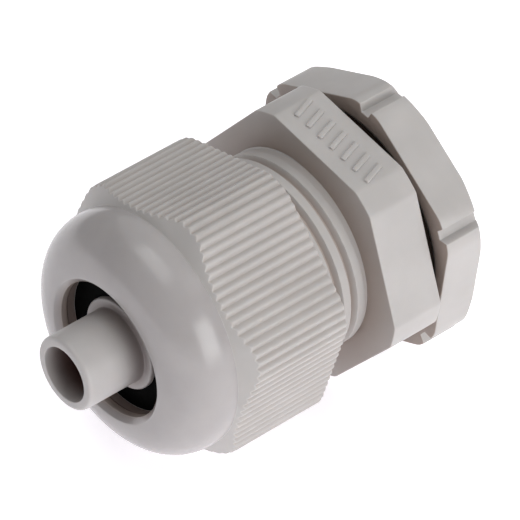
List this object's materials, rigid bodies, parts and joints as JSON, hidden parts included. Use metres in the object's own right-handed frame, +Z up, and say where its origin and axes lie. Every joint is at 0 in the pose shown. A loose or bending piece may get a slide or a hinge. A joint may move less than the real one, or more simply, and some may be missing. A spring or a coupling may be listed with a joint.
{
  "type": "cable gland",
  "caption": "Light grey plastic cable gland with a ribbed domed clamping nut, hexagonal body, rubber seal in a fingered claw, reducing tube and panel locknut.",
  "frame": {"origin": "on the gland's axis, in the face of the body's hexagon that seats on the panel", "axes": "+Y along the axis from the domed nut towards the panel thread, +Z up, the gland lying with its axis horizontal"},
  "size_m": [0.0262, 0.0386, 0.0266],
  "materials": {
    "polyamide": "satin, light warm grey moulded polyamide",
    "tube_plastic": "satin, light grey moulded plastic",
    "rubber": "matt black rubber"
  },
  "bodies": {
    "body": {"gland_body": "polyamide"},
    "claw": {"claw_ring": "polyamide", "sealing_insert": "rubber"},
    "dome_nut": {"dome_nut": "polyamide"},
    "tube": {"tube_insert": "tube_plastic"},
    "gasket": {"flange_gasket": "rubber"},
    "locknut": {"locknut": "polyamide"},
    "claw_finger_01": {"claw_finger_01": "polyamide"},
    "claw_finger_02": {"claw_finger_02": "polyamide"},
    "claw_finger_03": {"claw_finger_03": "polyamide"},
    "claw_finger_04": {"claw_finger_04": "polyamide"},
    "claw_finger_05": {"claw_finger_05": "polyamide"},
    "claw_finger_06": {"claw_finger_06": "polyamide"},
    "claw_finger_07": {"claw_finger_07": "polyamide"},
    "claw_finger_08": {"claw_finger_08": "polyamide"},
    "claw_finger_09": {"claw_finger_09": "polyamide"},
    "claw_finger_10": {"claw_finger_10": "polyamide"},
    "claw_finger_11": {"claw_finger_11": "polyamide"},
    "claw_finger_12": {"claw_finger_12": "polyamide"},
    "claw_finger_13": {"claw_finger_13": "polyamide"},
    "claw_finger_14": {"claw_finger_14": "polyamide"}
  },
  "joints": [
    {"name": "dome_nut_turn", "type": "hinge", "parent": "claw", "child": "dome_nut", "pos_m": [0, -0.02, 0], "axis": [0, 1, 0], "range_deg": [-360, 540]},
    {"name": "clamp_travel", "type": "slide", "parent": "body", "child": "claw", "axis": [0, 1, 0], "range_m": [-0.00165, 0.00245]},
    {"name": "locknut_turn", "type": "hinge", "parent": "gasket", "child": "locknut", "pos_m": [0, 0.003, 0], "axis": [0, 1, 0], "range_deg": [0, 1260]},
    {"name": "locknut_travel", "type": "slide", "parent": "body", "child": "gasket", "axis": [0, 1, 0], "range_m": [0, 0.0053]},
    {"name": "tube_pull", "type": "slide", "parent": "claw", "child": "tube", "axis": [0, -1, 0], "range_m": [0, 0.0115]},
    {"name": "claw_finger_01_flex", "type": "hinge", "parent": "claw", "child": "claw_finger_01", "pos_m": [0.00653, -0.023, -0.00315], "axis": [0.4339, 0, 0.901], "range_deg": [-2.67, 3.95]},
    {"name": "claw_finger_02_flex", "type": "hinge", "parent": "claw", "child": "claw_finger_02", "pos_m": [0.00452, -0.023, -0.00567], "axis": [0.7818, 0, 0.6235], "range_deg": [-2.67, 3.95]},
    {"name": "claw_finger_03_flex", "type": "hinge", "parent": "claw", "child": "claw_finger_03", "pos_m": [0.00161, -0.023, -0.00707], "axis": [0.9749, 0, 0.2225], "range_deg": [-2.67, 3.95]},
    {"name": "claw_finger_04_flex", "type": "hinge", "parent": "claw", "child": "claw_finger_04", "pos_m": [-0.00161, -0.023, -0.00707], "axis": [0.9749, 0, -0.2225], "range_deg": [-2.67, 3.95]},
    {"name": "claw_finger_05_flex", "type": "hinge", "parent": "claw", "child": "claw_finger_05", "pos_m": [-0.00452, -0.023, -0.00567], "axis": [0.7818, 0, -0.6235], "range_deg": [-2.67, 3.95]},
    {"name": "claw_finger_06_flex", "type": "hinge", "parent": "claw", "child": "claw_finger_06", "pos_m": [-0.00653, -0.023, -0.00315], "axis": [0.4339, 0, -0.901], "range_deg": [-2.67, 3.95]},
    {"name": "claw_finger_07_flex", "type": "hinge", "parent": "claw", "child": "claw_finger_07", "pos_m": [-0.00725, -0.023, 0], "axis": [0, 0, -1], "range_deg": [-2.67, 3.95]},
    {"name": "claw_finger_08_flex", "type": "hinge", "parent": "claw", "child": "claw_finger_08", "pos_m": [-0.00653, -0.023, 0.00315], "axis": [-0.4339, 0, -0.901], "range_deg": [-2.67, 3.95]},
    {"name": "claw_finger_09_flex", "type": "hinge", "parent": "claw", "child": "claw_finger_09", "pos_m": [-0.00452, -0.023, 0.00567], "axis": [-0.7818, 0, -0.6235], "range_deg": [-2.67, 3.95]},
    {"name": "claw_finger_10_flex", "type": "hinge", "parent": "claw", "child": "claw_finger_10", "pos_m": [-0.00161, -0.023, 0.00707], "axis": [-0.9749, 0, -0.2225], "range_deg": [-2.67, 3.95]},
    {"name": "claw_finger_11_flex", "type": "hinge", "parent": "claw", "child": "claw_finger_11", "pos_m": [0.00161, -0.023, 0.00707], "axis": [-0.9749, 0, 0.2225], "range_deg": [-2.67, 3.95]},
    {"name": "claw_finger_12_flex", "type": "hinge", "parent": "claw", "child": "claw_finger_12", "pos_m": [0.00452, -0.023, 0.00567], "axis": [-0.7818, 0, 0.6235], "range_deg": [-2.67, 3.95]},
    {"name": "claw_finger_13_flex", "type": "hinge", "parent": "claw", "child": "claw_finger_13", "pos_m": [0.00653, -0.023, 0.00315], "axis": [-0.4339, 0, 0.901], "range_deg": [-2.67, 3.95]},
    {"name": "claw_finger_14_flex", "type": "hinge", "parent": "claw", "child": "claw_finger_14", "pos_m": [0.00725, -0.023, 0], "axis": [0, 0, 1], "range_deg": [-2.67, 3.95]}
  ],
  "couplings": [
    {"joint": "clamp_travel", "follows": "dome_nut_turn", "m_per_rad": 0.00025465},
    {"joint": "locknut_travel", "follows": "locknut_turn", "m_per_rad": 0.00023873},
    {"joint": "claw_finger_01_flex", "follows": "dome_nut_turn", "ratio": 0.0071301},
    {"joint": "claw_finger_02_flex", "follows": "dome_nut_turn", "ratio": 0.0071301},
    {"joint": "claw_finger_03_flex", "follows": "dome_nut_turn", "ratio": 0.0071301},
    {"joint": "claw_finger_04_flex", "follows": "dome_nut_turn", "ratio": 0.0071301},
    {"joint": "claw_finger_05_flex", "follows": "dome_nut_turn", "ratio": 0.0071301},
    {"joint": "claw_finger_06_flex", "follows": "dome_nut_turn", "ratio": 0.0071301},
    {"joint": "claw_finger_07_flex", "follows": "dome_nut_turn", "ratio": 0.0071301},
    {"joint": "claw_finger_08_flex", "follows": "dome_nut_turn", "ratio": 0.0071301},
    {"joint": "claw_finger_09_flex", "follows": "dome_nut_turn", "ratio": 0.0071301},
    {"joint": "claw_finger_10_flex", "follows": "dome_nut_turn", "ratio": 0.0071301},
    {"joint": "claw_finger_11_flex", "follows": "dome_nut_turn", "ratio": 0.0071301},
    {"joint": "claw_finger_12_flex", "follows": "dome_nut_turn", "ratio": 0.0071301},
    {"joint": "claw_finger_13_flex", "follows": "dome_nut_turn", "ratio": 0.0071301},
    {"joint": "claw_finger_14_flex", "follows": "dome_nut_turn", "ratio": 0.0071301}
  ]
}
